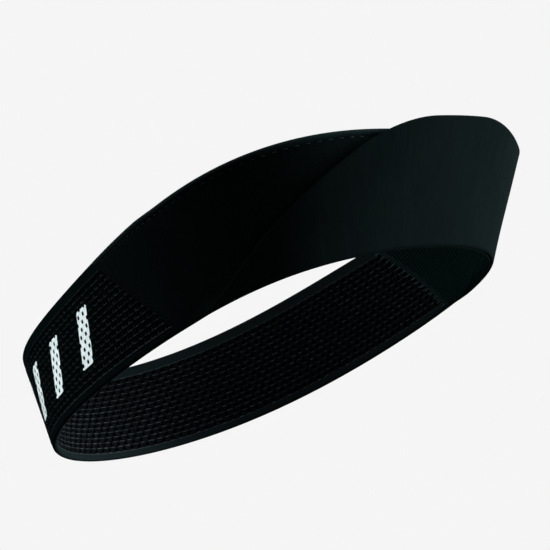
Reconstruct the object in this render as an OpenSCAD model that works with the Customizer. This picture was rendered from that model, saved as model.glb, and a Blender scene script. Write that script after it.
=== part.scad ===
// Sports headband: an elastic eyelet webbing behind, and two lined fabric panels
// that cross over the forehead. It stands on its lower rim, which lies on z = 0.
// The forehead faces -Y, the wearer's left is +X, and millimetres are used throughout.

/* [Rim outline] */
// Half of the rim's breadth, before the corner term is taken off
half_breadth = 73; // [64:0.5:80]
// Half of the rim's length, forehead to nape
half_length = 98; // [88:0.5:108]
// How far the widest place lies in front of the middle
widest_forward = 9.5; // [6:0.5:16]
// How much narrower the forehead is than the back of the head
front_taper = 2.5; // [0:0.5:6]
// How much the outline fills its corners
corner_fill = 3.5; // [0:0.5:5]
// Moves the whole band along Y, so that its box is centred on the origin
centre_y = 4.1; // [-6:0.1:8]

/* [Wall lean] */
// Mean outward lean of the wall, in degrees
lean_mean = 15; // [5:0.5:18]
// How much more the forehead leans than the nape, in degrees
lean_front = 20.5; // [5:0.5:22]
// How much more the front and the back lean than the sides, in degrees
lean_ends = 10.5; // [0:0.5:12]
// How much more the temples lean, in degrees
lean_temples = 3; // [0:0.5:4]

/* [Rear band] */
// Width of the elastic webbing
band_width = 40; // [32:0.5:50]
// Thickness of the elastic webbing
band_thick = 2; // [1.4:0.1:2.6]
// Width of the plain selvedge along the top
upper_selvedge = 4.6; // [3:0.1:7]
// Width of the plain selvedge along the bottom
lower_selvedge = 3; // [2:0.1:5]

/* [Seams] */
// Angle round the rim, from the forehead, at the lower end of the left seam
left_seam_low = 76; // [75:0.5:84]
// The same for the right seam
right_seam_low = 77.5; // [75:0.5:84]
// The same at the upper end of both: the seams slant back
seam_high = 94.5; // [90:0.5:104]
// Gap between the end of the webbing and the edge of a panel
seam_gap = 0.4; // [0.3:0.05:0.8]
// Width of the folded seam allowance on the inside
allowance_width = 4.5; // [3:0.1:7]
// Thickness of the folded seam allowance
allowance_thick = 0.9; // [0.6:0.05:1.2]

/* [Front panels] */
// Thickness of a panel's outer fabric
shell_thick = 0.75; // [0.5:0.05:1]
// Thickness of a panel's lining
lining_thick = 0.5; // [0.4:0.05:0.8]
// Space between outer fabric and lining, which holds the stay tape
ply_gap = 0.45; // [0.4:0.05:0.7]
// Gap between the left panel and the right panel where they cross
cross_gap = 0.3; // [0.3:0.05:0.6]
// Extra height of the left panel over the forehead
left_rise = 5.8; // [0:0.1:8]
// Extra height of the right panel over the temple
right_rise = 5.1; // [0:0.1:8]
// Angle round the rim where a panel's folded edge meets it
fold_low = 71; // [66:0.5:72]
// Angle of the point near the top that the folded edge is drawn through
fold_high = 15; // [10:0.5:26]
// Height of that point
fold_height = 44.4; // [40:0.1:48]
// Curve of the folded edge: 1 is straight, less bows it upwards
fold_bow = 0.76; // [0.6:0.02:1]
// How softly the folded edge turns into the top edge
fold_corner = 10; // [4:0.5:14]

/* [Tapes and thread] */
// Width of the stay tape in the folded edges
tape_width = 5; // [3:0.5:7]
// Thickness of the stay tape
tape_thick = 0.2; // [0.15:0.05:0.25]
// Distance from the right panel's top edge to its row of stitches
hem_depth = 2.7; // [2:0.1:5]
// Length of one stitch of the hem
stitch_length = 2.2; // [1.5:0.1:3]
// Pitch of the hem stitches
stitch_pitch = 3.2; // [2.8:0.1:5]
// Thickness of the sewing thread
thread = 0.35; // [0.25:0.05:0.45]

/* [Printed marks] */
// Number of slanted bars printed round the back
mark_count = 11; // [6:1:13]
// Width of one bar
mark_width = 8; // [4:0.5:9]
// Height of one bar
mark_height = 20; // [14:1:26]
// Thickness of the print
mark_thick = 0.2; // [0.1:0.05:0.3]

/* [Hidden] */

FABRIC = [0.045, 0.06, 0.062];
KNIT = [0.035, 0.045, 0.047];
THREAD = [0.12, 0.15, 0.155];
PRINT = [0.93, 0.94, 0.94];

LEFT = 1;
RIGHT = -1;
clear = 0.1;                 // clearance between two pieces sewn to each other
panel_set_in = 0.15;         // how far a panel lies below the webbing's outer face
ply = shell_thick + ply_gap + lining_thick;
cross_lift = (ply + cross_gap) / 2;
ramp_end = fold_low - 3.5;   // a panel is fully lifted or sunk from here to the forehead
allowance_out = -band_thick - 0.4;  // the outer face of a seam allowance
allowance_inset = 0.6;       // a seam allowance ends this far inside the band's edges
allowance_shift = 0.8;       // degrees by which it lies towards the webbing
lining_rise = 0.5;           // the linings end this far above the rim
left_fall = 9;               // angle from which the left panel's top edge comes down
left_run = 24;               // degrees over which it comes down
right_crest = -32;           // angle where the right panel is highest
right_spread = 28;           // degrees over which it falls away to either side
tip_cut = 2.5;               // degrees that the blunt tip of a panel stops short of fold_low
lining_tip = 5;              // the same for a lining
tape_end = 15;               // the stay tape stops this many degrees before the low end of the fold
tape_below = 0.8;            // distance from the folded edge to the tape
seam_clear = 4;              // degrees left free of tape and hem stitches beside a seam
rear_degree = 1.6;           // millimetres of rim in one degree, from the seams to the nape
front_degree = 1.45;         // the same along the top edge of the front
mark_inset = 11;             // degrees from a seam to the middle of the first bar
mark_drop = 0.5;             // how far the bars lie below the middle of the webbing
mark_slant = 4;              // degrees that a bar leans over its height
half_gap = seam_gap / 2 / rear_degree;  // half of the seam's gap, in degrees
row_inset = 2.2;             // a seam's rows of stitches end this far inside the band's edges
tack_back = 9;               // degrees from the low end of a fold to its tack
tack_low = 1;                // height of the tack's lowest stitch
tack_pitch = 0.7;            // distance between the tack's stitches

// ---- The wall: a surface that rises from the rim and leans outwards ----

function rim(t) = [
    half_breadth * sin(t) - front_taper * sin(2 * t) + corner_fill * sin(3 * t),
    -half_length * cos(t) + widest_forward * cos(2 * t) + centre_y
];

// Outward horizontal direction at angle t
function outward(t) =
    let (
        dx = half_breadth * cos(t) - 2 * front_taper * cos(2 * t) + 3 * corner_fill * cos(3 * t),
        dy = half_length * sin(t) - 2 * widest_forward * sin(2 * t),
        length = norm([dx, dy])
    )
    [dy / length, -dx / length];

function lean(t) = lean_mean + lean_front * cos(t) + lean_ends * cos(2 * t) - lean_temples * cos(3 * t);

// Point at angle t, height h measured up the wall, and distance off outside it.
// The offset is level, so every edge at h = 0 lies on the plane z = 0.
function wall(t, h, off) =
    let (
        a = lean(t),
        r = rim(t),
        n = outward(t),
        reach = h * sin(a) + off / cos(a)
    )
    [r[0] + n[0] * reach, r[1] + n[1] * reach, h * cos(a)];

function mix(a, b, k) = a + (b - a) * k;
function seam_low(side) = side == LEFT ? left_seam_low : right_seam_low;
function seam(side, h) = mix(seam_low(side), seam_high, h / band_width);
function step_up(k) = let (c = max(0, min(1, k))) c * c * (3 - 2 * c);
function bump(x) = exp(-x * x);

// Top edge of each panel: it rises over the forehead and the temple
function left_top(t) = band_width + left_rise * (1 - step_up((t - left_fall) / left_run));
function right_top(t) = band_width + right_rise * bump((t - right_crest) / right_spread);
function panel_top(side, t) = side == LEFT ? left_top(t) : right_top(t);

// Height of the folded edge that sweeps down across the forehead, s degrees from the
// middle of the forehead towards the panel's own seam
function diagonal(s) = fold_height * pow(max(0, fold_low + s) / (fold_low - fold_high), 1 / fold_bow);

// The smaller of two heights, with a round corner of size r where they cross
function soft_min(a, b, r) = min(a, b) - pow(max(0, r - abs(a - b)), 2) / (4 * r);

// Height of a panel's upper edge: along its top, then down the diagonal
function upper_edge(side, t) = soft_min(diagonal(side * t), panel_top(side, t), fold_corner);

// Angle and height at (u, v) on a panel that starts tip degrees short of its low end: u runs
// along it in the direction of t, and v up it from a low edge at h = base
function panel_spot(side, u, v, base, tip) =
    let (
        k = side == LEFT ? u : 1 - u,
        low = mix(tip - fold_low, seam_low(side) - half_gap, k),
        high = mix(tip - fold_low, seam_high - half_gap, k)
    )
    [side * mix(low, high, v), mix(base, upper_edge(side, side * high), v)];

// The left panel is lifted over the right one, which sinks by as much
function lift(side, t) =
    let (ramp_start = seam_low(side) - 1)
    side * cross_lift * step_up((ramp_start - side * t) / (ramp_start - ramp_end));

// ---- Solids ----

function two(a, b, c, d) = [[a, b, c], [a, c, d]];

// Closed sheet on the wall. spot(u, v) gives its angle and height, and the two
// faces lie at deep(t) and proud(t) from the wall.
module sheet(nu, nv, spot, deep, proud) {
    spots = [for (i = [0:nu]) for (j = [0:nv]) spot(i / nu, j / nv)];
    outer = [for (s = spots) wall(s[0], s[1], proud(s[0]))];
    inner = [for (s = spots) wall(s[0], s[1], deep(s[0]))];
    row = nv + 1;
    back = len(spots);
    faces = [
        for (i = [0:nu - 1]) for (j = [0:nv - 1]) let (p = i * row + j)
            each concat(
                two(p, p + 1, p + row + 1, p + row),
                two(back + p, back + p + row, back + p + row + 1, back + p + 1)
            ),
        for (i = [0:nu - 1]) let (p = i * row, q = p + nv)
            each concat(
                two(p, p + row, back + p + row, back + p),
                two(q + row, q, back + q, back + q + row)
            ),
        for (j = [0:nv - 1]) let (p = j, q = nu * row + j)
            each concat(
                two(p + 1, p, back + p, back + p + 1),
                two(q, q + 1, back + q + 1, back + q)
            )
    ];
    polyhedron(concat(outer, inner), faces);
}

function unit(v) = v / norm(v);

// Frame on the wall at (t, h, off): x along the band, y up the wall, z outwards
function wall_frame(t, h, off) =
    let (
        here = wall(t, h, off),
        up = unit(wall(t, h + 1, off) - here),
        near = wall(t + 0.5, h, off) - here,
        along = unit(near - up * (near * up)),
        out = cross(along, up)
    )
    [
        [along[0], up[0], out[0], here[0]],
        [along[1], up[1], out[1], here[1]],
        [along[2], up[2], out[2], here[2]],
        [0, 0, 0, 1]
    ];

// One stitch: a short bar of thread lying on the wall, turned by slant degrees
module stitch(t, h, off, length, slant) {
    multmatrix(wall_frame(t, h, off))
        rotate([0, 0, slant])
            cube([length, thread, thread], center = true);
}

// ---- Rear band ----

function band_spot(u, v, low, high) =
    let (h = mix(low, high, v))
    [mix(seam(LEFT, h) + half_gap, 360 - seam(RIGHT, h) - half_gap, u), h];

module band_strip(nv, low, high) {
    sheet(
        60, nv,
        function(u, v) band_spot(u, v, low, high),
        function(t) -band_thick,
        function(t) 0
    );
}

module rear_band() {
    color(KNIT) band_strip(4, lower_selvedge + clear, band_width - upper_selvedge - clear);
}

module rear_band_upper_selvedge() {
    color(FABRIC) band_strip(1, band_width - upper_selvedge, band_width);
}

// The lower selvedge is extruded straight up, so the band stands on one plane
module rear_band_lower_selvedge() {
    steps = 60;
    angles = [for (i = [0:steps]) band_spot(i / steps, 1, 0, lower_selvedge)[0]];
    outline = [
        for (t = angles) let (p = wall(t, lower_selvedge / 2, 0)) [p[0], p[1]],
        for (i = [steps:-1:0]) let (p = wall(angles[i], lower_selvedge / 2, -band_thick)) [p[0], p[1]]
    ];
    color(FABRIC) linear_extrude(lower_selvedge - clear) polygon(outline);
}

// Bars on the outside of the webbing, evenly spaced from seam to seam
module printed_marks() {
    first = seam_high + mark_inset;
    low = (band_width - mark_height) / 2 - mark_drop;
    half = mark_width / rear_degree / 2;
    color(PRINT)
        for (i = [0:mark_count - 1]) {
            middle = mix(first, 360 - first, i / (mark_count - 1));
            sheet(
                3, 3,
                function(u, v) [
                    middle + mix(-half, half, u) + mark_slant * (v - 0.5),
                    low + mark_height * v
                ],
                function(t) clear,
                function(t) clear + mark_thick
            );
        }
}

// ---- Front panels ----

module panel_ply(side, deep, thick, base, tip) {
    sheet(
        72, 8,
        function(u, v) panel_spot(side, u, v, base, tip),
        function(t) lift(side, t) - panel_set_in - deep - thick,
        function(t) lift(side, t) - panel_set_in - deep
    );
}

module panel_shell(side) {
    panel_ply(side, 0, shell_thick, 0, tip_cut);
}

module panel_lining(side) {
    panel_ply(side, shell_thick + ply_gap, lining_thick, lining_rise, lining_tip);
}

module left_panel_shell() {
    color(FABRIC) panel_shell(LEFT);
}

module left_panel_lining() {
    color(KNIT) panel_lining(LEFT);
}

module right_panel_shell() {
    color(FABRIC) panel_shell(RIGHT);
}

module right_panel_lining() {
    color(KNIT) panel_lining(RIGHT);
}

// Tape inside the fold, along the top edge and down the diagonal
module stay_tape(side) {
    first = side == LEFT ? tape_end - fold_low : seam_clear - seam_high;
    last = side == LEFT ? seam_high - seam_clear : fold_low - tape_end;
    deep = panel_set_in + shell_thick + ply_gap - tape_thick - 0.6 * clear;
    sheet(
        72, 1,
        function(u, v)
            let (t = mix(first, last, u))
            [t, upper_edge(side, t) - tape_below - tape_width * (1 - v)],
        function(t) lift(side, t) - deep - tape_thick,
        function(t) lift(side, t) - deep
    );
}

module left_panel_stay_tape() {
    color(THREAD) stay_tape(LEFT);
}

module right_panel_stay_tape() {
    color(THREAD) stay_tape(RIGHT);
}

// Topstitch that holds the right panel's turned hem, up to where the left panel hides it
module right_panel_hem_stitches() {
    from = seam_clear - seam_high;
    to = -fold_high - 4;
    count = floor((to - from) * front_degree / stitch_pitch);
    color(THREAD)
        for (i = [0:count]) {
            t = mix(from, to, i / count);
            off = lift(RIGHT, t - 1) - panel_set_in + thread / 2 + clear;
            stitch(t, right_top(t) - hem_depth, off, stitch_length, 0);
        }
}

// ---- Seams ----

// Folded allowance of a panel, laid over the end of the webbing on the inside
module seam_allowance(side) {
    half = allowance_width / rear_degree / 2;
    sheet(
        4, 10,
        function(u, v)
            let (
                h = mix(allowance_inset, band_width - allowance_inset, v),
                across = mix(-half, half, side == LEFT ? u : 1 - u)
            )
            [side * (seam(side, h) + allowance_shift + across), h],
        function(t) allowance_out - allowance_thick,
        function(t) allowance_out
    );
}

module left_seam_allowance() {
    color(FABRIC) seam_allowance(LEFT);
}

module right_seam_allowance() {
    color(FABRIC) seam_allowance(RIGHT);
}

// Row of stitches that follows a seam, at a distance in degrees and at one depth
module seam_row(side, shift, off, count, length, slant) {
    for (i = [0:count - 1]) {
        h = mix(row_inset, band_width - row_inset, i / (count - 1));
        stitch(side * (seam(side, h) + shift), h, off, length, side * slant);
    }
}

module seam_overlock(side) {
    off = allowance_out - allowance_thick - thread / 2 - clear;
    seam_row(side, shift = allowance_shift, off = off, count = 20, length = 4, slant = -8);
}

module left_seam_overlock() {
    color(THREAD) seam_overlock(LEFT);
}

module right_seam_overlock() {
    color(THREAD) seam_overlock(RIGHT);
}

module seam_topstitch(side) {
    off = -panel_set_in + thread / 2 + clear;
    seam_row(side, shift = -2, off = off, count = 15, length = 1.9, slant = 55);
}

module left_seam_topstitch() {
    color(THREAD) seam_topstitch(LEFT);
}

module right_seam_topstitch() {
    color(THREAD) seam_topstitch(RIGHT);
}

// ---- Tacks on the inside, which hold the panels together where a fold meets the rim ----

module crossover_tack(t) {
    off = lift(RIGHT, 0) - panel_set_in - ply - thread / 2 - 1.5 * clear;
    color(THREAD)
        for (i = [0:3])
            stitch(t, tack_low + tack_pitch * i, off, length = 3, slant = 0);
}

// Through the low tip of the right panel, at the wearer's left
module left_crossover_tack() {
    crossover_tack(fold_low - tack_back);
}

// Through the low tip of the left panel, at the wearer's right
module right_crossover_tack() {
    crossover_tack(tack_back - fold_low);
}

rear_band();
rear_band_upper_selvedge();
rear_band_lower_selvedge();
printed_marks();
left_panel_shell();
left_panel_lining();
left_panel_stay_tape();
right_panel_shell();
right_panel_lining();
right_panel_stay_tape();
right_panel_hem_stitches();
left_seam_allowance();
right_seam_allowance();
left_seam_overlock();
right_seam_overlock();
left_seam_topstitch();
right_seam_topstitch();
left_crossover_tack();
right_crossover_tack();
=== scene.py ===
"""Sports headband: webbing, panels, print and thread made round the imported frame.

Lengths are millimetres and angles degrees up to the point where a mesh is written, in metres.
t is the angle round the rim: 0 at the forehead, 90 at the wearer's left, 180 at the nape.
h is the height measured up the leaning wall, and off the level distance outside the wall.
"""

import math

import bmesh
import bpy
import numpy as np
from mathutils import Matrix, Vector


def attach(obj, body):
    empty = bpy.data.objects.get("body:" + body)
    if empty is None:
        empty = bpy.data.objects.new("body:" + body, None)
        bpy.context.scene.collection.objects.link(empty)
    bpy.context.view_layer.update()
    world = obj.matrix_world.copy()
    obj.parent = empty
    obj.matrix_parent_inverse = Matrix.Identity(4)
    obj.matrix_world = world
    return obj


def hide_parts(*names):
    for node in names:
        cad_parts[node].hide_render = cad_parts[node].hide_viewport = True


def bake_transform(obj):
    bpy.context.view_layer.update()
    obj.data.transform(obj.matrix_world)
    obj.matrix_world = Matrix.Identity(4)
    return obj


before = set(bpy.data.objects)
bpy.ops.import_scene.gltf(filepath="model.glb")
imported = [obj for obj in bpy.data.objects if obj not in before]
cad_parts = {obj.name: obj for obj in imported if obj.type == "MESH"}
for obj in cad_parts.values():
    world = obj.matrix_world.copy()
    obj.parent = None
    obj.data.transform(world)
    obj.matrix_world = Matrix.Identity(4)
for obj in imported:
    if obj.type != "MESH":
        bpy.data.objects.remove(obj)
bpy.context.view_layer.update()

MM = 0.001
LEFT, RIGHT = 1, -1

# The wall, with the CAD model's own driving dimensions
HALF_BREADTH = 73.0
HALF_LENGTH = 98.0
WIDEST_FORWARD = 9.5
FRONT_TAPER = 2.5
CORNER_FILL = 3.5
CENTRE_Y = 4.1
LEAN_MEAN, LEAN_FRONT, LEAN_ENDS, LEAN_TEMPLES = 15.0, 20.5, 10.5, 3.0

# Rear band
BAND_WIDTH = 40.0
BAND_THICK = 2.0
UPPER_SELVEDGE = 4.6
LOWER_SELVEDGE = 3.0
EYELET_ROWS = 14
EYELET_PITCH = 3.9
SEAM_LOW = {LEFT: 76.0, RIGHT: 77.5}
SEAM_HIGH = 94.5
SEAM_GAP = 0.07              # degrees between a seam's middle and either edge
DEGREE_MM = 1.6              # millimetres of rim in one degree, from the seams to the nape

# Front panels
SHELL_THICK = 0.75
LINING_THICK = 0.5
PLY = 1.7                    # outer fabric, space and lining together
PANEL_SET_IN = 0.15
CROSS_LIFT = 1.0
LEFT_RISE, LEFT_FALL, LEFT_RUN = 5.8, 9.0, 24.0
RIGHT_RISE, RIGHT_CREST, RIGHT_SPREAD = 5.1, -32.0, 28.0
FOLD_LOW, FOLD_HIGH, FOLD_HEIGHT = 71.0, 15.0, 44.4
FOLD_BOW, FOLD_CORNER = 0.76, 10.0
RAMP_END = FOLD_LOW - 3.5
TIP_CUT = 2.5                # degrees that the blunt tip of a panel stops short of FOLD_LOW
LINING_TIP = 5.0             # the same for a lining
HEM_DEPTH = 2.7              # from the right panel's top edge down to its row of stitches
HEM_PITCH = 3.2
HEM_END, HEM_FADE = 12.0, 5.0  # degrees from the forehead where the hem ends, and its fading
LIPS = {LEFT: (1.1, 1.3, 1.3), RIGHT: (1.1, 4.5, 1.3)}  # turned in at the bottom, top and diagonal
RIM_PRESS = 0.5              # how far the layers are pressed together at the rim

# Print
MARK_COUNT = 11
MARK_WIDTH = 8.0
MARK_HEIGHT = 20.0
MARK_INSET = 11.0            # degrees from a seam's top to the middle of the first bar
MARK_SLANT = 4.0             # degrees of rim from a bar's foot to its top
MARK_CORNER = 0.9            # radius of a bar's corners
MARK_LOW = (BAND_WIDTH - MARK_HEIGHT) / 2 - 0.5     # height of the bars' feet
FILM_TOP, FILM_FOOT = 0.07, 0.02    # the film's faces above the bricks


# ---- The wall ----

def rim(t):
    """Place of the lower rim's outside at angle t."""
    r = np.radians(t)
    x = HALF_BREADTH * np.sin(r) - FRONT_TAPER * np.sin(2 * r) + CORNER_FILL * np.sin(3 * r)
    y = -HALF_LENGTH * np.cos(r) + WIDEST_FORWARD * np.cos(2 * r) + CENTRE_Y
    return x, y


def outward(t):
    """Level direction out of the rim."""
    r = np.radians(t)
    dx = HALF_BREADTH * np.cos(r) - 2 * FRONT_TAPER * np.cos(2 * r) + 3 * CORNER_FILL * np.cos(3 * r)
    dy = HALF_LENGTH * np.sin(r) - 2 * WIDEST_FORWARD * np.sin(2 * r)
    length = np.hypot(dx, dy)
    return dy / length, -dx / length


def lean(t):
    """How far the wall leans outward, in radians."""
    r = np.radians(t)
    return np.radians(
        LEAN_MEAN + LEAN_FRONT * np.cos(r) + LEAN_ENDS * np.cos(2 * r) - LEAN_TEMPLES * np.cos(3 * r)
    )


def wall(t, h, off):
    """Points at angle t, height h up the wall and distance off outside it."""
    t, h, off = np.broadcast_arrays(
        np.asarray(t, float), np.asarray(h, float), np.asarray(off, float)
    )
    a = lean(t)
    x, y = rim(t)
    nx, ny = outward(t)
    reach = h * np.sin(a) + off / np.cos(a)
    return np.stack([x + nx * reach, y + ny * reach, h * np.cos(a)], -1)


def mix(a, b, k):
    """From a to b while k goes from 0 to 1."""
    return a + (b - a) * k


def seam(side, h):
    """Angle of a seam's middle at height h, counted from the forehead towards that side."""
    return mix(SEAM_LOW[side], SEAM_HIGH, np.asarray(h, float) / BAND_WIDTH)


def step_up(k):
    """Smooth step from 0 to 1 while k goes from 0 to 1."""
    c = np.clip(k, 0, 1)
    return c * c * (3 - 2 * c)


def panel_top(side, t):
    """Height of a panel's top edge."""
    if side == LEFT:
        return BAND_WIDTH + LEFT_RISE * (1 - step_up((t - LEFT_FALL) / LEFT_RUN))
    return BAND_WIDTH + RIGHT_RISE * np.exp(-(((t - RIGHT_CREST) / RIGHT_SPREAD) ** 2))


def diagonal(s):
    """Height of a fold, s degrees from the middle of the forehead towards the panel's seam."""
    rise = np.clip(FOLD_LOW + s, 0, None) / (FOLD_LOW - FOLD_HIGH)
    return FOLD_HEIGHT * np.power(rise, 1 / FOLD_BOW)


def soft_min(a, b, r):
    """The smaller of two heights, with a round corner of size r where they cross."""
    return np.minimum(a, b) - np.clip(r - np.abs(a - b), 0, None) ** 2 / (4 * r)


def upper_edge(side, t):
    """Height of a panel's edge: the diagonal fold, then round into the top."""
    return soft_min(diagonal(side * t), panel_top(side, t), FOLD_CORNER)


def lift(side, t):
    """How far a panel's outer face lies outside the wall. The left one crosses over the right one."""
    start = SEAM_LOW[side] - 1
    return side * CROSS_LIFT * step_up((start - side * np.asarray(t, float)) / (start - RAMP_END))


def packed(t, h, off):
    """Depth of a layer of the front, which is pressed against the outermost one beside the rim."""
    crossing = np.minimum(np.abs(lift(LEFT, t)), np.abs(lift(RIGHT, t))) / CROSS_LIFT
    press = RIM_PRESS * crossing * (1 - step_up(np.asarray(h, float) / 5))
    return mix(off, CROSS_LIFT - PANEL_SET_IN, press)


def arc_lengths(angles, off, zero):
    """Millimetres along the wall at half height, from the angle zero to each of the angles."""
    steps = np.linalg.norm(np.diff(wall(angles, BAND_WIDTH / 2, off), axis=0), axis=1)
    lengths = np.concatenate([[0.0], np.cumsum(steps)])
    return lengths - np.interp(zero, angles, lengths)


FRONT_END = 110              # the front's lengths reach this far past both seams
FRONT_ANGLE = np.linspace(-FRONT_END, FRONT_END, 2201)
FRONT_LENGTH = arc_lengths(FRONT_ANGLE, 0, 0)
REAR_ANGLE = np.linspace(60, 300, 4801)
REAR_LENGTH = arc_lengths(REAR_ANGLE, -BAND_THICK / 2, 180)


def angle_at(s):
    """Angle at s millimetres from the nape."""
    return np.interp(s, REAR_LENGTH, REAR_ANGLE)


def length_at(t):
    """Millimetres from the nape to angle t."""
    return np.interp(t, REAR_ANGLE, REAR_LENGTH)


def along_wall(t):
    """Millimetres along the wall: from the forehead in front, and from the nape behind."""
    t = np.asarray(t, float)
    return np.where(np.abs(t) <= FRONT_END, np.interp(t, FRONT_ANGLE, FRONT_LENGTH), length_at(t))


# ---- Meshes ----

INNER_FACE = 50.0            # third place on a fabric, which tells its inner face


def make_piece(name, points, faces, cloth, painted_light=None, sharp=40):
    """A mesh object from millimetre points. cloth holds each point's place on its fabric, in
    millimetres along and up it, and may tell its face. The argument after cloth holds painted
    light: 1 for a painted highlight, as on a thread that stands out, and -1 for painted shade in an
    eyelet. sharp is the angle of sharp edges."""
    mesh = bpy.data.meshes.new(name)
    mesh.from_pydata([tuple(p) for p in np.asarray(points) * MM], [], [list(f) for f in faces])
    place = np.zeros((len(points), 3), np.float32)
    place[:, :cloth.shape[1]] = cloth
    mesh.attributes.new("cloth", "FLOAT_VECTOR", "POINT").data.foreach_set("vector", place.ravel())
    level = np.zeros(len(points), np.float32) if painted_light is None else np.asarray(painted_light, np.float32)
    mesh.attributes.new("painted_light", "FLOAT", "POINT").data.foreach_set("value", level)
    work = bmesh.new()
    work.from_mesh(mesh)
    bmesh.ops.recalc_face_normals(work, faces=work.faces)
    work.to_mesh(mesh)
    work.free()
    mesh.shade_smooth()
    mesh.set_sharp_from_angle(angle=math.radians(sharp))
    piece = bpy.data.objects.new(name, mesh)
    bpy.context.scene.collection.objects.link(piece)
    return piece


def grid_faces(rows, columns, start=0, flip=False):
    """Quads between the points of a grid that is stored row by row."""
    i, j = np.meshgrid(np.arange(rows - 1), np.arange(columns - 1), indexing="ij")
    a = (start + i * columns + j).ravel()
    quads = np.stack([a, a + 1, a + columns + 1, a + columns], -1)
    return (quads[:, ::-1] if flip else quads).tolist()


def rim_loop(rows, columns):
    """The boundary points of a grid, in order round it."""
    return (
        [j for j in range(columns)]
        + [i * columns + columns - 1 for i in range(1, rows)]
        + [(rows - 1) * columns + j for j in range(columns - 2, -1, -1)]
        + [i * columns for i in range(rows - 2, 0, -1)]
    )


def closed_sheet(name, t, h, outer, inner, cloth=None):
    """Closed sheet between two faces of one grid. t and h are its 2-D arrays, and outer and
    inner how far its two faces lie outside the wall."""
    rows, columns = t.shape
    outer, inner = np.broadcast_to(outer, t.shape), np.broadcast_to(inner, t.shape)
    count = rows * columns
    points = np.concatenate([wall(t, h, outer).reshape(-1, 3), wall(t, h, inner).reshape(-1, 3)])
    loop = rim_loop(rows, columns)
    sides = [[a, b, b + count, a + count] for a, b in zip(loop, loop[1:] + loop[:1])]
    faces = grid_faces(rows, columns) + grid_faces(rows, columns, count, True) + sides
    if cloth is None:
        cloth = np.stack([along_wall(t), h], -1)
    cloth = np.concatenate([cloth.reshape(-1, 2)] * 2)
    cloth = np.column_stack([cloth, np.repeat([0, INNER_FACE], count)])
    return make_piece(name, points, faces, cloth)


def set_painted_light(piece, outer, inner):
    """Writes the painted light of the points on a closed sheet's two faces."""
    values = np.concatenate([outer.ravel(), inner.ravel()]).astype(np.float32)
    piece.data.attributes["painted_light"].data.foreach_set("value", values)


# ---- Eyelet webbing ----

ROW_PITCH = (BAND_WIDTH - UPPER_SELVEDGE - LOWER_SELVEDGE) / EYELET_ROWS
PIT_DEEP = 0.78
PIT_HALF_X, PIT_HALF_Y = 0.52, 0.48
CHAMFER = 0.1                # cut off the corners of the rings round an eyelet
THREAD_WIDE = 0.2            # from the middle of the thread along a row to its edge
ROW_RISE, ROW_LIGHT = 0.16, 0.92    # height and painted highlight of that thread
TICK_RISE, TICK_LIGHT = 0.1, 1.0    # the same for the short thread beside an eyelet
TICK_FAINT = 0.3             # share of the painted highlight on the upper end of the short thread
INNER_TICK = 0.7             # share of the painted highlight on the short thread of the inner face
WELD_STEPS = 500             # per millimetre: points that share a step are one
SNAP = 0.05                  # points this near a cut, in its own units, count as on it
PIT_FACE, RING_FACE, BRICK_FACE = range(3)


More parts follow.
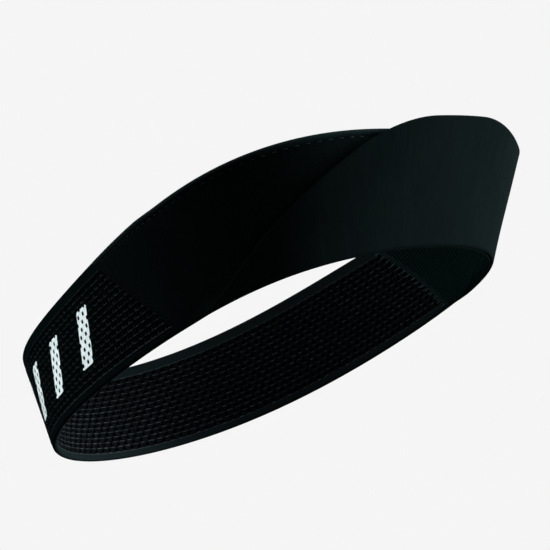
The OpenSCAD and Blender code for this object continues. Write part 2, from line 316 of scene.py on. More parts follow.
def eyelet_tile():
    """One eyelet with the half bricks beside it. Each point has x, y, its height and its painted
    light on the outer face, and the same two on the inner face. Painted light is 1 for a painted
    highlight on a thread and -1 for painted shade in the eyelet. Returned with the faces and the
    part of the tile that each belongs to."""
    half_x, half_y = EYELET_PITCH / 2, ROW_PITCH / 2
    foot = half_y - THREAD_WIDE
    dash = 0.45              # a thread dips this far either side of an eyelet
    points = [
        (sx * PIT_HALF_X, sy * PIT_HALF_Y, -PIT_DEEP, -1, -PIT_DEEP, -1)
        for sx, sy in ((-1, -1), (1, -1), (1, 1), (-1, 1))
    ]

    def octagon(wide, tall, level, light, tick=0.0):
        """Adds a ring round the eyelet. tick is the painted highlight of the short thread at its
        right.
        """
        wide_cut, tall_cut = wide - CHAMFER, tall - CHAMFER
        corners = [
            (-wide_cut, -tall), (wide_cut, -tall), (wide, -tall_cut), (wide, tall_cut),
            (wide_cut, tall), (-wide_cut, tall), (-wide, tall_cut), (-wide, -tall_cut),
        ]
        for x, y in corners:
            # The highlight is painted on the eyelet's right side only: outside mostly at the lower
            # end, inside only at the upper end.
            beside = tick if x >= wide_cut else 0.0
            outside = max(light, beside * (1 if y < 0 else TICK_FAINT))
            inside = max(light, beside * INNER_TICK * (y > 0))
            rise = level + TICK_RISE * (beside > 0)
            points.append((x, y, rise, outside, rise, inside))
        return list(range(len(points) - 8, len(points)))

    # The lip ring carries the eyelet's painted shade, the crest ring the short thread's painted
    # highlight.
    lip = octagon(wide=0.65, tall=0.61, level=-0.08, light=-0.9)
    crest = octagon(wide=0.78, tall=0.73, level=0.02, light=0.0, tick=TICK_LIGHT)
    foot_ring = octagon(wide=0.93, tall=0.85, level=0.0, light=0.0)
    outer = [
        (-dash, -foot), (dash, -foot), (half_x, -foot), (half_x, foot),
        (dash, foot), (-dash, foot), (-half_x, foot), (-half_x, -foot),
    ]
    points.extend((x, y, 0.02, 0, 0.02, 0) for x, y in outer)
    frame_ring = list(range(len(points) - 8, len(points)))
    faces = [([0, 1, 2, 3], PIT_FACE)]
    for corner, (a, b) in enumerate(((7, 0), (1, 2), (3, 4), (5, 6))):
        faces.append(([corner, lip[a], lip[b]], PIT_FACE))
    for corner, (a, b) in enumerate(((0, 1), (2, 3), (4, 5), (6, 7))):
        faces.append(([corner, lip[a], lip[b], (corner + 1) % 4], PIT_FACE))
    rings = ((lip, crest, RING_FACE), (crest, foot_ring, BRICK_FACE),
             (foot_ring, frame_ring, BRICK_FACE))
    for ring, wider, part in rings:
        for k in range(8):
            after = (k + 1) % 8
            faces.append(([ring[k], wider[k], wider[after], ring[after]], part))

    # The threads along both borders. Outside, each dips where it passes under the eyelet above
    # it, and inside from a little before the eyelet below it to that eyelet's middle.
    for side in (-1, 1):
        start = len(points)
        for x in (-half_x, dash - half_x, -dash, 0.0, dash, half_x - dash, half_x):
            under = x == 0 if side == -1 else abs(x) == half_x
            over = abs(x) == half_x or x == half_x - dash if side == -1 else x in (0, -dash)
            points.append((x, side * half_y) + thread_level(under) + thread_level(over))
        low = [frame_ring[k] for k in ((7, 0, 1, 2) if side == -1 else (6, 5, 4, 3))]
        for k in range(3):
            top = [start + 2 * k, start + 2 * k + 1, start + 2 * k + 2]
            face = [low[k], low[k + 1]] + top[::-1]
            faces.append((face if side == 1 else face[::-1], BRICK_FACE))
    return np.array(points, float), faces


def thread_level(dips):
    """Height and painted highlight of the thread along a row."""
    return (0.0, 0.0) if dips else (ROW_RISE, ROW_LIGHT)


def eyelet_lattice(half_length):
    """All tiles of the field, welded. Returns each point as in the tile but with its place
    along and up the band, the faces, and which faces belong to bricks."""
    tile, tile_faces = eyelet_tile()
    columns = int(half_length / EYELET_PITCH) + 2
    centres = np.array([
        ((column + row % 2 / 2) * EYELET_PITCH, LOWER_SELVEDGE + (row + 0.5) * ROW_PITCH)
        for row in range(EYELET_ROWS)
        for column in range(-columns, columns + 1)
    ])
    points = np.repeat(tile[None], len(centres), 0)
    points[:, :, :2] += centres[:, None, :]
    points = points.reshape(-1, points.shape[-1])
    keys = np.round(points[:, :3] * WELD_STEPS).astype(np.int64)
    _, first, where = np.unique(keys, axis=0, return_index=True, return_inverse=True)
    where = where.ravel()
    faces, bricks = [], []
    for k in range(len(centres)):
        start = k * len(tile)
        for face, part in tile_faces:
            faces.append([int(where[start + i]) for i in face])
            bricks.append(part == BRICK_FACE)
    return points[first], faces, np.array(bricks)


def clip_faces(points, faces, inside):
    """Keeps the part of each face where inside(points) is not negative. Cut edges share points."""
    level = inside(points)
    level[np.abs(level) < SNAP] = 0.0
    points = [tuple(p) for p in points]
    cuts = {}
    kept = []
    for face in faces:
        if all(level[i] >= 0 for i in face):
            kept.append(face)
            continue
        if all(level[i] <= 0 for i in face):
            continue
        cut = []
        for a, b in zip(face, face[1:] + face[:1]):
            if level[a] >= 0:
                cut.append(a)
            if level[a] * level[b] < 0:
                key = (min(a, b), max(a, b))
                if key not in cuts:
                    k = level[key[0]] / (level[key[0]] - level[key[1]])
                    cuts[key] = len(points)
                    points.append(tuple(mix(np.array(points[key[0]]), np.array(points[key[1]]), k)))
                cut.append(cuts[key])
        if len(cut) > 2:
            kept.append(cut)
    return np.array(points), kept


def drop_loose(points, faces):
    """Leaves out the points that no face uses."""
    used = np.unique([i for face in faces for i in face])
    new = np.full(len(points), -1)
    new[used] = np.arange(len(used))
    return points[used], [[int(new[i]) for i in face] for face in faces]


def two_faced(name, points, faces, outer, inner, t):
    """Closed piece from one lattice of faces, laid on an outer and an inner level of the wall."""
    count = len(points)
    edges = dict.fromkeys(pair for face in faces for pair in zip(face, face[1:] + face[:1]))
    sides = [[b, a, a + count, b + count] for a, b in edges if (b, a) not in edges]
    back = [[i + count for i in face[::-1]] for face in faces]
    places = np.concatenate([wall(t, points[:, 1], outer), wall(t, points[:, 1], inner)])
    cloth = np.concatenate([points[:, :2], points[:, :2]])
    cloth = np.column_stack([cloth, np.repeat([0, INNER_FACE], count)])
    painted_light = np.concatenate([points[:, 3], points[:, 5]])
    return make_piece(name, places, list(faces) + back + sides, cloth, painted_light, sharp=50)


def band_ends(points):
    """Positive between the two seams, in degrees."""
    t = angle_at(points[:, 0])
    first, last = (seam(side, points[:, 1]) + SEAM_GAP for side in (LEFT, RIGHT))
    return np.minimum(t - first, 360 - last - t)


def rear_webbing(lattice):
    """The eyelet field from seam to seam."""
    points, faces, _ = lattice
    points, faces = drop_loose(*clip_faces(points, faces, band_ends))
    t = angle_at(points[:, 0])
    return two_faced("rear_webbing", points, faces, points[:, 2], -BAND_THICK - points[:, 4], t)


def cut_bar(points, faces, middle):
    """The part of some faces inside one slanted bar with round corners, middle along the band."""
    half_x, half_y = MARK_WIDTH / 2 - MARK_CORNER, MARK_HEIGHT / 2 - MARK_CORNER
    slant = MARK_SLANT * DEGREE_MM / MARK_HEIGHT
    for turn in range(0, 360, 15):
        c, s = math.cos(math.radians(turn)), math.sin(math.radians(turn))
        reach = half_x * abs(c) + half_y * abs(s) + MARK_CORNER

        def inside(p):
            y = p[:, 1] - MARK_LOW - MARK_HEIGHT / 2
            x = p[:, 0] - middle - slant * y
            return reach - c * x - s * y

        points, faces = clip_faces(points, faces, inside)
    return drop_loose(points, faces)


def rear_marks(lattice):
    """Bars of print: a thin film that lies on the bricks and leaves the eyelets open."""
    points, faces, bricks = lattice
    solid = [face for face, brick in zip(faces, bricks) if brick]
    first = SEAM_HIGH + MARK_INSET
    film, film_faces = np.zeros((0, points.shape[1])), []
    for k in range(MARK_COUNT):
        middle = length_at(mix(first, 360 - first, k / (MARK_COUNT - 1)))
        near = [
            face for face in solid
            if abs(points[face[0], 0] - middle) < MARK_WIDTH + 4
            and MARK_LOW - 3 < points[face[0], 1] < MARK_LOW + MARK_HEIGHT + 3
        ]
        bar, bar_faces = cut_bar(points, near, middle)
        film_faces += [[i + len(film) for i in face] for face in bar_faces]
        film = np.concatenate([film, bar])
    level = film[:, 2]
    return two_faced("printed_bars", film, film_faces, level + FILM_TOP, level + FILM_FOOT,
                     angle_at(film[:, 0]))


SELVEDGE_RIB = 0.78          # millimetres from one lengthwise rib to the next
SELVEDGE_THREAD = 0.15       # height of the thread beside the eyelets


def selvedge(name, low, high, edge_at):
    """Plain woven edge of the webbing: round at its free edge, which is at height edge_at,
    ribbed, and with a thread that stands up beside the eyelets and carries a painted highlight."""
    width = high - low
    across = np.concatenate([[0, 0.06, 0.2, 0.42, 0.7, 1.0], np.arange(1.25, width - 0.5, 0.25),
                             [width - 0.45, width - 0.33, width - 0.2, width - 0.08, width]])
    radius = 0.95
    round_edge = np.sqrt(np.clip(1 - np.clip(1 - across / radius, 0, 1) ** 2, 0.004, 1))
    ribs = 0.045 * np.cos(2 * math.pi * across / SELVEDGE_RIB) * step_up((across - 0.6) / 0.5)
    thread = SELVEDGE_THREAD * np.exp(-(((across - width + 0.26) / 0.1) ** 2))
    sunk = 0.03
    proud = (BAND_THICK / 2) * (round_edge - 1) + ribs - sunk + thread
    h = low + across if edge_at == low else high - across
    steps = 240
    u = np.linspace(0, 1, steps + 1)[:, None]
    first, last = (seam(side, h) + SEAM_GAP for side in (LEFT, RIGHT))
    t = mix(first[None], 360 - last[None], u)
    h = np.broadcast_to(h[None], t.shape)
    piece = closed_sheet(name, t, h, proud[None], -BAND_THICK - proud[None])
    # Painted highlight along the thread beside the eyelets, on both faces.
    thread_highlight = np.tile(np.clip(thread / SELVEDGE_THREAD, 0, 1), (steps + 1, 1))
    set_painted_light(piece, thread_highlight, thread_highlight)
    return piece


# ---- Front panels ----

FOLD_RADIUS = 0.82


def fold_in(d):
    """How far a face curves in at distance d from a folded edge."""
    gap = np.clip(FOLD_RADIUS - d, 0, FOLD_RADIUS)
    return FOLD_RADIUS - np.sqrt(FOLD_RADIUS ** 2 - gap ** 2)


def edge_lines(lip):
    """Distances of the grid lines beside a folded edge whose lip is so wide."""
    return np.concatenate([
        [0.0, 0.05, 0.16, 0.34, 0.58], np.linspace(0.8, lip - 0.1, 7), [lip, lip + 0.1]
    ])


def panel_grid(side, low_lip, top_lip, fold_lip):
    """Angle, height and distance to the nearest folded edge over a panel, and where the lips are."""
    lines_along, lines_between = 181, 26
    u = np.linspace(0, 1, lines_along)
    low_end = mix(TIP_CUT - FOLD_LOW, SEAM_LOW[side] - SEAM_GAP, u)[:, None]
    high_end = mix(TIP_CUT - FOLD_LOW, SEAM_HIGH - SEAM_GAP, u)[:, None]
    edge = upper_edge(side, side * high_end)
    slope = np.gradient(edge[:, 0], along_wall(high_end[:, 0]))[:, None]
    steep = np.hypot(1, slope)
    below = edge_lines(low_lip)[None]
    # The fold's lip passes into the top's before the forehead, from 20 to 6 degrees
    above = mix(edge_lines(fold_lip), edge_lines(top_lip), step_up((high_end + 20) / 14)) * steep
    squeeze = np.minimum(1, 0.8 * edge / (below[:, -1:] + above[:, -1:]))
    low, high = below * squeeze, edge - above[:, ::-1] * squeeze
    middle = mix(low[:, -1:], high[:, :1], np.linspace(0, 1, lines_between)[None, 1:-1])
    h = np.concatenate([low, middle, high], axis=1)
    t = side * mix(low_end, high_end, h / edge)
    near = np.minimum(h, (edge - h) / steep)
    lip = np.ones(h.shape, bool)
    lip[:, below.shape[1] - 1:1 - above.shape[1]] = False
    return t, h, near, lip


def ripple(side, t, h):
    """Slight unevenness of hung fabric."""
    s = along_wall(t)
    return (
        0.10 * np.sin(s / 11.0 + h / 17.0 + side)
        + 0.07 * np.sin(s / 6.3 - h / 9.0 + 2.0)
        + 0.04 * np.sin(h / 4.1 + s / 23.0)
    ) * step_up(h / 8) * step_up((BAND_WIDTH - h) / 8)


def panel_shell(side, name, low_lip, top_lip, fold_lip):
    """Outer fabric of a panel, turned in over its top, its bottom and its diagonal fold."""
    t, h, near, lip = panel_grid(side, low_lip, top_lip, fold_lip)
    level = lift(side, t) - PANEL_SET_IN
    calm = ripple(side, t, h) * step_up(near / 6) * 0.6
    outer = level - fold_in(near) + calm
    if side == RIGHT:
        outer = outer - hem_groove(t, h)
    turned = level - PLY + fold_in(near)
    inner = np.where(lip, turned, level - SHELL_THICK + calm)
    piece = closed_sheet(name, t, h, packed(t, h, outer), packed(t, h, inner))
    # The turned hem strip gets a painted highlight on its outer face.
    if side == RIGHT:
        set_painted_light(piece, hem_highlight_mask(t, h), np.zeros(t.shape))
    return piece


def above_row(t, h):
    """Millimetres above the right panel's row of hem stitches."""
    return h - (panel_top(RIGHT, t) - HEM_DEPTH)


def along_hem(t):
    """1 along the hem, which fades out towards the middle of the forehead."""
    return step_up((-t - HEM_END) / HEM_FADE)


def hem_highlight_mask(t, h):
    """1 on the turned strip above the stitches, where a highlight is painted for the light that
    catches the upturned fold.
    """
    return step_up((above_row(t, h) - 0.4) / 0.5) * along_hem(t)


def hem_groove(t, h):
    """The row of stitches draws the hem in, between slight puckers and under a roll."""
    from_row = above_row(t, h)
    groove_deep, pucker_deep, roll_high = 0.2, 0.07, 0.4
    pucker = pucker_deep * (0.5 + 0.5 * np.cos(along_wall(t) * 2 * math.pi / HEM_PITCH))
    groove = groove_deep * np.exp(-((from_row / 0.5) ** 2)) + pucker * np.exp(-((from_row / 1.8) ** 2))
    roll = roll_high * np.exp(-(((from_row - 1.3) / 0.75) ** 2))
    return (groove - roll) * along_hem(t)


def panel_lining(side, name, low_lip, top_lip, fold_lip):
    """Lining between the turned lips, a little below them."""
    t, h, _, lip = panel_grid(side, low_lip, top_lip, fold_lip)
    within = np.where(~lip[0])[0]
    first = int(np.argmax(side * t[:, 0] >= LINING_TIP - FOLD_LOW))
    part = np.s_[first:, within[0]:within[-1] + 1]
    t, h = t[part], h[part]
    level = lift(side, t) - PANEL_SET_IN - PLY + 0.12
    return closed_sheet(name, t, h, packed(t, h, level + LINING_THICK - 0.1), packed(t, h, level))


# ---- Thread ----

def wall_step(t, h):
    """Millimetres along the wall for one degree, at t and h."""
    return float(np.linalg.norm(wall(t + 0.5, h, 0) - wall(t - 0.5, h, 0)))


def stitch_points(t, h, off, length, slant, bow):
    """Centre line of one stitch, which dives bow millimetres into the fabric at both ends."""
    step = wall_step(t, h)
    x = np.linspace(-0.5, 0.5, 9)
    c, s = math.cos(math.radians(slant)), math.sin(math.radians(slant))
    return wall(t + x * length * c / step, h + x * length * s, off - bow * (2 * x) ** 4)


def thread_piece(name, lines, radius):
    """Round thread along each line of points."""
    sides, end_share = 8, 0.55      # a thread's ends are that share of its thickness
    points, faces, cloth = [], [], []
    for line in lines:
        line = np.asarray(line)
        tangent = np.gradient(line, axis=0)
        tangent /= np.linalg.norm(tangent, axis=1)[:, None]
        first = np.cross(tangent, [0.01, 0.01, 1.01])
        first /= np.linalg.norm(first, axis=1)[:, None]
        second = np.cross(tangent, first)
        along = np.concatenate([[0], np.cumsum(np.linalg.norm(np.diff(line, axis=0), axis=1))])
        start = len(points)
        for k, centre in enumerate(line):
            thin = radius * (end_share if k in (0, len(line) - 1) else 1.0)
            for j in range(sides):
                a = 2 * math.pi * j / sides
                points.append(centre + thin * (first[k] * math.cos(a) + second[k] * math.sin(a)))
                cloth.append((along[k], radius * a))
        for k in range(len(line) - 1):
            for j in range(sides):
                a, b = start + k * sides + j, start + k * sides + (j + 1) % sides
                faces.append([a, b, b + sides, a + sides])
        faces.append([start + j for j in range(sides)])
        faces.append([start + (len(line) - 1) * sides + j for j in reversed(range(sides))])
    return make_piece(name, np.array(points), faces, np.array(cloth), sharp=70)


def hem_stitches():
    """Row of stitches along the right panel's top, from its seam to where the left one covers it."""
    lines = []
    clear, sunk = 4, 0.14           # degrees clear of the seam and the fold, and depth
    s_from, s_to = along_wall(clear - SEAM_HIGH), along_wall(-FOLD_HIGH - clear)
    for k in range(int((s_to - s_from) / HEM_PITCH) + 1):
        t = float(np.interp(s_from + k * HEM_PITCH, FRONT_LENGTH, FRONT_ANGLE))
        h = float(panel_top(RIGHT, t)) - HEM_DEPTH
        off = float(lift(RIGHT, t)) - PANEL_SET_IN - sunk
        lines.append(stitch_points(t, h, off, length=2.2, slant=0, bow=0.25))
    return thread_piece("right_hem_stitches", lines, radius=0.17)


def seam_line(side, shift, off, count, length, slant):
    """Stitches one above the other along a seam, shift degrees behind it."""
    lines = []
    inset = 1.6
    for k in range(count):
        h = mix(inset, BAND_WIDTH - inset, k / (count - 1))
        t = side * (float(seam(side, h)) + shift)
        lines.append(stitch_points(t, h, off, length, side * slant, bow=0.25))
    return lines


def tack(side):
    """Four short stitches on the inside, which hold the two panels together at the rim."""
    from_tip, lowest, pitch = 9, 1, 0.7
    t = side * (FOLD_LOW - from_tip)
    off = float(lift(RIGHT, 0)) - PANEL_SET_IN - PLY - 0.02
    heights = [lowest + pitch * k for k in range(4)]
    return [
        stitch_points(t, h, float(packed(t, h, off)), length=3, slant=0, bow=0.2) for h in heights
    ]


def allowance(side, name):
    """Folded allowance on the inside of a seam. It slopes up from the lining to a rolled ridge
    and ends on the webbing."""
    width, foot, top = 2.1, 0.4, BAND_WIDTH - 0.5
    ridge_high, ridge_at, ridge_wide = 0.45, -0.2, 0.17
    wave_high, wave_pitch = 0.05, 2.0
    thin, thick, least = 0.16, 0.42, 0.03
    across, up = np.meshgrid(np.linspace(-0.5, 0.5, 27), np.linspace(0, 1, 81), indexing="ij")
    h = mix(foot, top, up)
    t = side * (seam(side, h) + across * width / DEGREE_MM)
    ends = np.sqrt(np.clip(1 - (2 * np.abs(up - 0.5)) ** 24, 0.01, 1))
    edge = np.sqrt(np.clip(1 - (2 * np.abs(across)) ** 6, 0.02, 1)) * ends
    ridge = ridge_high * np.exp(-(((across - ridge_at) / ridge_wide) ** 2)) * ends
    wave = wave_high * np.sin(h * 2 * math.pi / wave_pitch) * edge
    base = mix(-PANEL_SET_IN - PLY + 0.05, -BAND_THICK - 0.02, step_up((across + 0.1) / 0.15))
    body = mix(thin, thick, step_up((across + 0.5) / 0.3)) * edge
    cloth = np.stack([across * width, h], -1)
    return closed_sheet(name, t, h, base, base - body - ridge - wave - least, cloth)


# ---- Materials ----

WAVE_PERIOD = 2 * math.pi / 20      # period of the Wave texture at scale 1
CLOTH_SHEEN = 0.004


class Nodes:
    """Short forms for building a shader."""

    def __init__(self, name):
        self.material = bpy.data.materials.new(name)
        self.material.use_nodes = True
        self.tree = self.material.node_tree
        self.shader = self.tree.nodes["Principled BSDF"]

    def add(self, kind, inputs=(), **settings):
        """A new node with its settings and its inputs, each a value or a socket."""
        node = self.tree.nodes.new(kind)
        for key, value in settings.items():
            setattr(node, key, value)
        for key, value in dict(inputs).items():
            self.put(node.inputs[key], value)
        return node

    def put(self, socket, value):
        """Links a socket to an input, or writes a value there."""
        if isinstance(value, bpy.types.NodeSocket):
            self.tree.links.new(value, socket)
        else:
            socket.default_value = value

    def math(self, operation, *values, clamp=False):
        node = self.add("ShaderNodeMath", operation=operation, use_clamp=clamp)
        for socket, value in zip(node.inputs, values):
            self.put(socket, value)
        return node.outputs[0]

    def total(self, *parts):
        """Sum of sockets, each given with its weight."""
        sums = [value if weight == 1 else self.math("MULTIPLY", value, weight)
                for value, weight in parts]
        while len(sums) > 1:
            sums[:2] = [self.math("ADD", sums[0], sums[1])]
        return sums[0]

    def attribute(self, name, output="Fac"):
        return self.add("ShaderNodeAttribute", attribute_name=name).outputs[output]

    def inner(self):
        """1 on the inner face of a fabric and 0 on the outer one."""
        place = self.add("ShaderNodeSeparateXYZ", {"Vector": self.attribute("cloth", "Vector")})
        return self.span(place.outputs[2], 0, INNER_FACE, 0, 1)

    def cloth(self, scale=(1, 1, 1), turn=0.0):
        """Place on the fabric in millimetres, scaled and turned."""
        return self.add(
            "ShaderNodeMapping",
            {"Vector": self.attribute("cloth", "Vector"), "Scale": scale,
             "Rotation": (0, 0, math.radians(turn))},
        ).outputs[0]

    def noise(self, vector, scale=1.0, detail=2.0, rough=0.5):
        """Cloudy pattern. scale is in grains per unit of the vector."""
        return self.add(
            "ShaderNodeTexNoise",
            {"Vector": vector, "Scale": scale, "Detail": detail, "Roughness": rough},
        ).outputs["Fac"]

    def wave(self, vector, period, distortion=0.0):
        """Bands along X of the vector, with their period in its units."""
        return self.add(
            "ShaderNodeTexWave",
            {"Vector": vector, "Scale": WAVE_PERIOD / period, "Distortion": distortion, "Detail": 1.0},
            bands_direction="X", wave_profile="SIN",
        ).outputs["Fac"]

    def span(self, value, low, high, to_low, to_high):
        """Maps a value from one range to another, and holds it inside that."""
        return self.add(
            "ShaderNodeMapRange",
            {"Value": value, "From Min": low, "From Max": high, "To Min": to_low, "To Max": to_high},
        ).outputs[0]

    def blend(self, factor, first, second):
        """Mix of two colours, each an RGBA value or a socket."""
        node = self.add("ShaderNodeMix", data_type="RGBA")
        for socket, value in zip((node.inputs[0], *node.inputs[6:8]), (factor, first, second)):
            self.put(socket, value)
        return node.outputs[2]

    def bump(self, height, distance_mm):
        """Normal of a surface that rises distance_mm while height goes from 0 to 1."""
        inputs = {"Height": height, "Distance": distance_mm * MM, "Strength": 1.0}
        return self.add("ShaderNodeBump", inputs).outputs[0]

    def finish(self, colour, roughness, normal, specular=0.0, sheen=0.0):
        """Fills the shader in. Near-black cloth has no gloss of its own, only a trace of sheen."""
        inputs = self.shader.inputs
        self.put(inputs["Base Color"], colour)
        self.put(inputs["Roughness"], roughness)
        self.put(inputs["Normal"], normal)
        inputs["Specular IOR Level"].default_value = specular
        inputs["Specular Tint"].default_value = tint(1.0)
        inputs["Sheen Weight"].default_value = sheen
        inputs["Sheen Roughness"].default_value = 0.4
        inputs["Sheen Tint"].default_value = tint(1.0)
        return self.material


def tint(value, red=0.55, green=0.97, blue=1.0):
    """The fabrics' cold black at a given brightness, as RGBA."""
    return (value * red, value * green, value * blue, 1)


def panel_material():
    """Smooth knit with fine upright wales, and a painted highlight on the right panel's turned hem
    strip.
    """
    n = Nodes("panel_knit")
    wales = n.noise(n.cloth((2.4, 0.14, 1), 8), 1.0, 2.0, 0.6)
    streaks = n.noise(n.cloth((0.7, 0.04, 1), 8), 1.0, 3.0, 0.6)
    cloud = n.noise(n.cloth((0.05, 0.04, 1)), 1.0, 2.0)
    fuzz = n.noise(n.cloth(), 2.5, 2.0, 0.7)
    tone = n.total((streaks, 0.4), (cloud, 0.3), (wales, 0.4), (fuzz, 0.3))
    tone = n.span(tone, 0.35, 1.05, 0, 1)
    flat = n.blend(tone, tint(0.0015), tint(0.0040))
    # Painted highlight on the turned hem strip, where light would catch its upturned fold.
    strip_highlight = n.blend(tone, tint(0.0045), tint(0.0110))
    colour = n.blend(n.attribute("painted_light"), flat, strip_highlight)
    height = n.total((wales, 1), (fuzz, 0.5))
    rough = n.span(streaks, 0.3, 0.7, 0.55, 0.7)
    return n.finish(colour, rough, n.bump(height, 0.04), sheen=CLOTH_SHEEN)


def lining_material():
    """Fine diagonal rib with dotted stitches."""
    n = Nodes("lining_rib")
    rib = n.wave(n.cloth(turn=24), 1.22, 0.7)
    dots = n.wave(n.cloth(turn=100), 1.6, 1.2)
    fuzz = n.noise(n.cloth(), 3.0, 2.0, 0.6)
    pattern = n.math("MULTIPLY", rib, n.math("ADD", n.math("MULTIPLY", dots, 0.4), 0.6))
    tone = n.total((pattern, 1), (fuzz, 0.4))
    colour = n.blend(n.span(tone, 0.35, 1.0, 0, 1), tint(0.0001, 0.3), tint(0.0082, 0.3, 1.0, 0.92))
    height = n.total((pattern, 1), (fuzz, 0.3))
    return n.finish(colour, n.span(fuzz, 0, 1, 0.6, 0.8), n.bump(height, 0.15), sheen=CLOTH_SHEEN)


def webbing_material():
    """Dark knitted bricks, painted shade in the eyelets, painted highlights on the threads along the
    rows and beside the eyelets, and other tones on the inner face as painted light.
    """
    n = Nodes("eyelet_knit")
    yarn = n.wave(n.cloth(), 0.55, 0.8)
    fuzz = n.noise(n.cloth(), 2.2, 3.0, 0.65)
    patch = n.noise(n.cloth((0.55, 0.75, 1)), 1.0, 1.0)
    light = n.attribute("painted_light")
    body = n.total((yarn, 0.2), (fuzz, 0.5), (patch, 0.6))
    inner = n.inner()
    # The inner face is painted in other tones than the outer one as painted light: its bricks
    # brighter.
    face_lit_tone = n.blend(inner, tint(0.0034, 0.35), tint(0.0042, 0.66, 0.85))
    brick = n.blend(n.span(body, 0.45, 1.0, 0, 1), tint(0.0002, 0.4), face_lit_tone)
    uneven = n.span(n.math("ADD", fuzz, patch), 0.8, 1.2, 0.25, 1.0)
    # Painted highlight on the threads, uneven along them.
    thread_highlight = n.math("MULTIPLY", n.span(light, 0.55, 1.0, 0, 1), uneven, clamp=True)
    # The thread highlight is painted dimmer on the inner face.
    thread = n.blend(inner, tint(0.19, 0.75, 0.92), tint(0.15, 0.75, 0.92))
    threads = n.blend(thread_highlight, brick, thread)
    # Painted shade: the eyelets and the rings at their lips are painted near black.
    colour = n.blend(n.math("MULTIPLY", light, -1.4, clamp=True), threads, tint(0.0001))
    height = n.total((yarn, 0.5), (fuzz, 0.7))
    rough = n.span(patch, 0.3, 0.7, 0.45, 0.6)
    return n.finish(colour, rough, n.bump(height, 0.06), sheen=CLOTH_SHEEN)


def selvedge_material():
    """Plain weave: fine cross ribs, a painted highlight on the thread beside the eyelets, and a
    brighter inner face as painted light.
    """
    n = Nodes("selvedge_weave")
    weft = n.wave(n.cloth(), 0.6, 0.5)
    warp = n.wave(n.cloth(turn=90), SELVEDGE_RIB, 0.5)
    fuzz = n.noise(n.cloth(), 1.6, 3.0, 0.6)
    painted_light = n.attribute("painted_light")
    tone = n.total((weft, 0.25), (fuzz, 0.8))
    # The inner face is painted brighter than the outer one, as painted light.
    face_lit_tone = n.blend(n.inner(), tint(0.0046, 0.42), tint(0.0085, 0.6, 0.9))
    weave = n.blend(n.span(tone, 0.2, 0.9, 0, 1), tint(0.0014, 0.4), face_lit_tone)
    # Painted highlight on the thread beside the eyelets.
    colour = n.blend(n.span(painted_light, 0.5, 1.0, 0, 1), weave, tint(0.035, 0.8))
    height = n.total((weft, 0.5), (warp, 0.5))
    return n.finish(colour, n.span(fuzz, 0, 1, 0.5, 0.7), n.bump(height, 0.06), sheen=CLOTH_SHEEN)


def allowance_material():
    """Rolled knit edge of the panel fabric, painted paler than the panel's face as a painted highlight
    on its lit ridge, with the rows of the overlock in it.
    """
    n = Nodes("allowance_knit")
    rows = n.wave(n.cloth(turn=90), 0.8, 0.8)
    fuzz = n.noise(n.cloth(), 2.0, 3.0, 0.6)
    tone = n.total((rows, 0.4), (fuzz, 0.8))
    colour = n.blend(n.span(tone, 0.3, 0.9, 0, 1), tint(0.002, 0.45), tint(0.009, 0.5))
    return n.finish(colour, n.span(fuzz, 0, 1, 0.5, 0.7), n.bump(tone, 0.08), sheen=CLOTH_SHEEN)


def print_material():
    """White ink, slightly uneven."""
    n = Nodes("print_ink")
    speck = n.noise(n.cloth(), 3.0, 3.0, 0.6)
    grain = n.noise(n.cloth(), 9.0, 2.0, 0.6)
    colour = n.blend(n.span(speck, 0.3, 0.7, 0, 1), (0.70, 0.80, 0.81, 1), (0.78, 0.88, 0.89, 1))
    return n.finish(colour, n.span(speck, 0.3, 0.7, 0.5, 0.65), n.bump(grain, 0.02), 0.2)


def thread_material(name, dark, light):
    """Two-ply sewing thread."""
    n = Nodes(name)
    twist = n.wave(n.cloth(turn=35), 0.4, 0.2)
    fuzz = n.noise(n.cloth(), 6.0, 2.0, 0.6)
    tone = n.total((twist, 0.6), (fuzz, 0.4))
    colour = n.blend(n.span(tone, 0.1, 0.9, 0, 1), tint(dark), tint(light))
    return n.finish(colour, n.span(fuzz, 0, 1, 0.4, 0.55), n.bump(twist, 0.05), sheen=CLOTH_SHEEN)


def tape_material():
    """Woven stay tape."""
    n = Nodes("stay_tape_weave")
    weft = n.wave(n.cloth(), 0.5, 0.2)
    warp = n.wave(n.cloth(turn=90), 0.5, 0.2)
    tone = n.math("MULTIPLY", n.math("ADD", weft, warp), 0.5)
    colour = n.blend(tone, tint(0.003), tint(0.012))
    return n.finish(colour, n.span(tone, 0, 1, 0.5, 0.7), n.bump(tone, 0.05))


# ---- Assembly ----

def place(piece, material, slot, nodes, stretch=False):
    """Gives a piece its material, the CAD nodes it stands for and its motion: it rides on the
    front panels, or stretches from them to the nape. slot is not used."""
    piece.data.materials.append(material)
    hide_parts(*nodes)
    if stretch:
        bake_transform(piece)
    else:
        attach(piece, "front_panels")
    return piece


def build_rear():
    """Webbing, selvedges and print, which stretch."""
    longest = float(max(abs(length_at(SEAM_LOW[LEFT])), abs(length_at(360 - SEAM_LOW[RIGHT]))))
    lattice = eyelet_lattice(longest)
    webbing = place(rear_webbing(lattice), webbing_material(), "eyelet_webbing", ["rear_band"],
                    stretch=True)
    weave = selvedge_material()
    upper = place(selvedge("upper_selvedge", BAND_WIDTH - UPPER_SELVEDGE, BAND_WIDTH, BAND_WIDTH),
                  weave, "selvedge", ["rear_band_upper_selvedge"], stretch=True)
    lower = place(selvedge("lower_selvedge", 0.0, LOWER_SELVEDGE, 0.0),
                  weave, "selvedge", ["rear_band_lower_selvedge"], stretch=True)
    marks = place(rear_marks(lattice), print_material(), "print", ["printed_marks"], stretch=True)


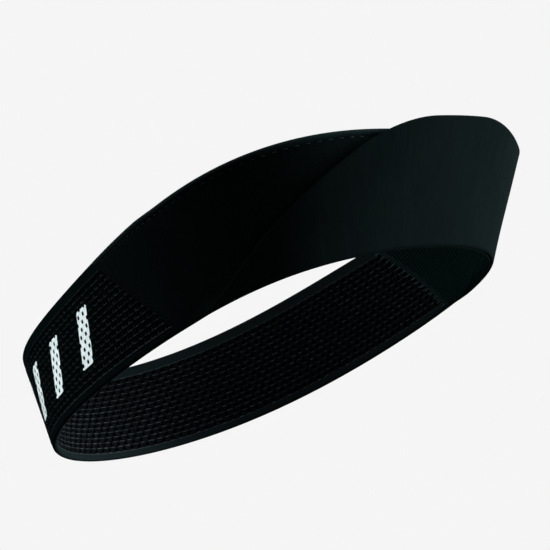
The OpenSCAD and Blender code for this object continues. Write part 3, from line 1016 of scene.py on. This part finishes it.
def stay_tape(side, name):
    """Tape inside the top and diagonal folds, from near the panel's tip to near its seam."""
    tape_width, below_edge = 4.6, 1.2
    from_tip, from_seam = 15, 4     # degrees
    first, last = sorted((side * (from_tip - FOLD_LOW), side * (SEAM_HIGH - from_seam)))
    u, v = np.meshgrid(np.linspace(0, 1, 121), np.linspace(0, 1, 5), indexing="ij")
    t = mix(first, last, u)
    h = upper_edge(side, t) - below_edge - tape_width * (1 - v)
    level = lift(side, t) - PANEL_SET_IN - SHELL_THICK
    return closed_sheet(name, t, h, level - 0.12, level - 0.3)


def build_panels():
    """Outer fabric, lining and stay tape of both front panels."""
    knit, rib, tape = panel_material(), lining_material(), tape_material()
    for side, word in ((LEFT, "left"), (RIGHT, "right")):
        shell = place(panel_shell(side, f"{word}_outer_panel", *LIPS[side]), knit,
                      "panel_fabric", [f"{word}_panel_shell"])
        lining = place(panel_lining(side, f"{word}_lining", *LIPS[side]), rib,
                       "lining", [f"{word}_panel_lining"])
        place(stay_tape(side, f"{word}_stay_tape"), tape, "stay_tape", [f"{word}_panel_stay_tape"])


def build_seams():
    """Allowances and all thread."""
    dark = thread_material("topstitch_thread", 0.0003, 0.0012)
    hem = thread_material("hem_thread", 0.008, 0.024)
    light = thread_material("seam_thread", 0.02, 0.07)
    inside = thread_material("tack_thread", 0.002, 0.006)
    folded = allowance_material()
    place(hem_stitches(), hem, "thread", ["right_panel_hem_stitches"])
    for side, word in ((LEFT, "left"), (RIGHT, "right")):
        place(allowance(side, f"{word}_allowance"), folded, "panel_fabric",
              [f"{word}_seam_allowance"])
        ladder = seam_line(side, shift=0.9, off=-BAND_THICK - 0.42, count=16, length=2.1, slant=-4)
        place(thread_piece(f"{word}_overlock", ladder, radius=0.17), light, "thread",
              [f"{word}_seam_overlock"])
        outside = seam_line(side, shift=-0.9, off=-0.06, count=15, length=1.9, slant=55)
        place(thread_piece(f"{word}_topstitch", outside, radius=0.14), dark, "thread",
              [f"{word}_seam_topstitch"])
        place(thread_piece(f"{word}_tack", tack(side), radius=0.13), inside, "thread",
              [f"{word}_crossover_tack"])


# ---- Studio ----

# The camera, in degrees and millimetres. It looks up from the wearer's right front
AZIMUTH, ELEVATION, ROLL = -44.965, -16.995, -19.915
CAMERA_AWAY = 725.12
AIM_ACROSS, AIM_UP = 0.307, 28.848
LENS = 127.8

# The surroundings, in metres and watts
LIGHT_AWAY, LIGHT_SIZE = 1.2, 0.8
LIGHTS = (("key", 55, -15, 51), ("front", 24, 5, 28), ("over", 30, 35, 30), ("high", -110, 45, 20))
BACKDROP_RADIUS = 6
FLOOR_SIZE, FLOOR_LEVEL = 11, -0.45
BACKDROP_GLOW = 0.913
WORLD_COLOUR, WORLD_STRENGTH = (0.9, 0.95, 1, 1), 0.08


def camera_axes():
    """Directions to the camera's right, its top and its back."""
    a, e, r = (math.radians(x) for x in (AZIMUTH, ELEVATION, ROLL))
    back = Vector((math.sin(a) * math.cos(e), -math.cos(a) * math.cos(e), math.sin(e)))
    right = Vector((math.cos(a), math.sin(a), 0))
    up = back.cross(right)
    across = right * math.cos(r) + up * math.sin(r)
    return across, up * math.cos(r) - right * math.sin(r), back


def build_camera():
    """Camera that looks along the axes at the middle of the band, shifted to its aim."""
    across, up, back = camera_axes()
    place_mm = back * CAMERA_AWAY + across * AIM_ACROSS + up * AIM_UP + Vector((0, CENTRE_Y, 0))
    data = bpy.data.cameras.new("camera")
    data.lens = LENS
    data.clip_start = 0.01
    camera = bpy.data.objects.new("camera", data)
    camera.matrix_world = Matrix((
        (across.x, up.x, back.x, place_mm.x * MM),
        (across.y, up.y, back.y, place_mm.y * MM),
        (across.z, up.z, back.z, place_mm.z * MM),
        (0, 0, 0, 1),
    ))
    bpy.context.scene.collection.objects.link(camera)
    bpy.context.scene.camera = camera


def area_light(name, azimuth, elevation, power):
    """Soft light aimed at the band. Azimuth runs from the front to the left."""
    a, e = math.radians(azimuth), math.radians(elevation)
    away = LIGHT_AWAY
    spot = (away * math.sin(a) * math.cos(e), -away * math.cos(a) * math.cos(e), away * math.sin(e))
    data = bpy.data.lights.new(name, "AREA")
    data.shape = "DISK"
    data.size = LIGHT_SIZE
    data.energy = power
    light = bpy.data.objects.new(name, data)
    light.location = spot
    aim = Vector((0, 0, 0.02)) - Vector(spot)
    light.rotation_euler = aim.to_track_quat("-Z", "Y").to_euler()
    bpy.context.scene.collection.objects.link(light)


def glow_material(name, level):
    """Even grey glow."""
    material = bpy.data.materials.new(name)
    material.use_nodes = True
    tree = material.node_tree
    tree.nodes.clear()
    glow = tree.nodes.new("ShaderNodeEmission")
    glow.inputs["Color"].default_value = (level, level, level, 1)
    out = tree.nodes.new("ShaderNodeOutputMaterial")
    tree.links.new(glow.outputs[0], out.inputs["Surface"])
    return material


def build_studio():
    """Pale backdrop and floor that only the camera sees, four lights and a weak sky."""
    bpy.ops.mesh.primitive_uv_sphere_add(radius=BACKDROP_RADIUS, segments=64, ring_count=32)
    backdrop = bpy.context.object
    backdrop.name = "backdrop"
    backdrop.data.materials.append(glow_material("backdrop_pale", BACKDROP_GLOW))
    bpy.ops.mesh.primitive_plane_add(size=FLOOR_SIZE, location=(0, 0, FLOOR_LEVEL))
    floor = bpy.context.object
    floor.name = "floor"
    floor.data.materials.append(glow_material("floor_pale", BACKDROP_GLOW))
    for thing in (backdrop, floor):
        thing.visible_diffuse = False
        thing.visible_glossy = False
        thing.visible_shadow = False
    for light in LIGHTS:
        area_light(*light)
    world = bpy.data.worlds.new("studio")
    world.use_nodes = True
    sky = world.node_tree.nodes["Background"].inputs
    sky["Color"].default_value = WORLD_COLOUR
    sky["Strength"].default_value = WORLD_STRENGTH
    bpy.context.scene.world = world
    bpy.context.scene.view_settings.view_transform = "Standard"


build_rear()
build_panels()
build_seams()
build_camera()
build_studio()
